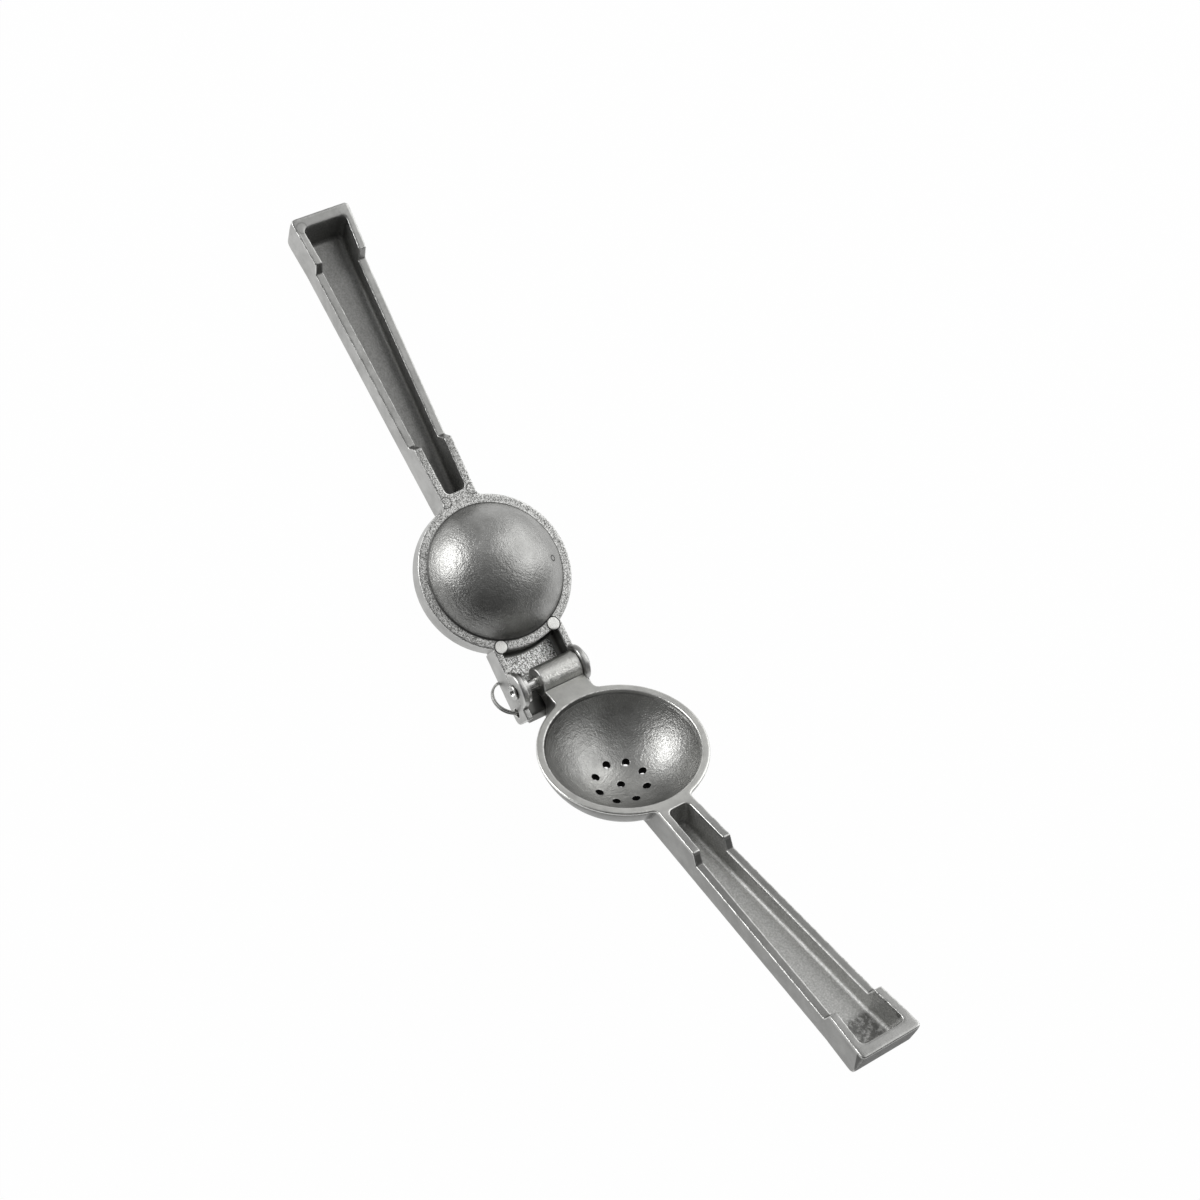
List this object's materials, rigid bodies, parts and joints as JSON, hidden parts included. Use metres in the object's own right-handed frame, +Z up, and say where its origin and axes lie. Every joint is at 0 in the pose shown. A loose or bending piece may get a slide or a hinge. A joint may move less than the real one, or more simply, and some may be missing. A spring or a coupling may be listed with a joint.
{
  "type": "lemon squeezer",
  "caption": "Hinged cast aluminium citrus squeezer: a domed press half closes into a drained cup half on a riveted pin, with channelled handles and a small split ring.",
  "frame": {"origin": "middle of the overall box at the height of the press handle's back, which lies on the table", "axes": "+X runs along the handles towards the cup half, +Y along the hinge pin towards its head, +Z up, out of the press half's rim face"},
  "size_m": [0.3536, 0.064, 0.1249],
  "materials": {
    "cast_aluminium": "tumbled and sand-blasted casting",
    "pin_steel": "zinc plated",
    "ring_steel": "nickel plated wire"
  },
  "bodies": {
    "press_half": {"press_casting": "cast_aluminium", "hinge_washer": "pin_steel"},
    "pin": {"hinge_pin": "pin_steel"},
    "cup_half": {"cup_casting": "cast_aluminium"},
    "ring": {"split_ring": "ring_steel"}
  },
  "joints": [
    {"name": "squeeze_hinge", "type": "hinge", "parent": "press_half", "child": "pin", "pos_m": [0.01578, 0, 0.01345], "axis": [0, -1, 0], "range_deg": [0, 144.6]},
    {"name": "side_play", "type": "slide", "parent": "pin", "child": "cup_half", "axis": [0, -1, 0], "range_m": [0, 0.0034]},
    {"name": "ring_swing", "type": "hinge", "parent": "press_half", "child": "ring", "pos_m": [0.02278, -0.0157, 0.00645], "axis": [0, -1, 0], "range_deg": [0, 100]}
  ],
  "couplings": [
    {"joint": "side_play", "follows": "squeeze_hinge", "m_per_rad": 0.0013472}
  ]
}
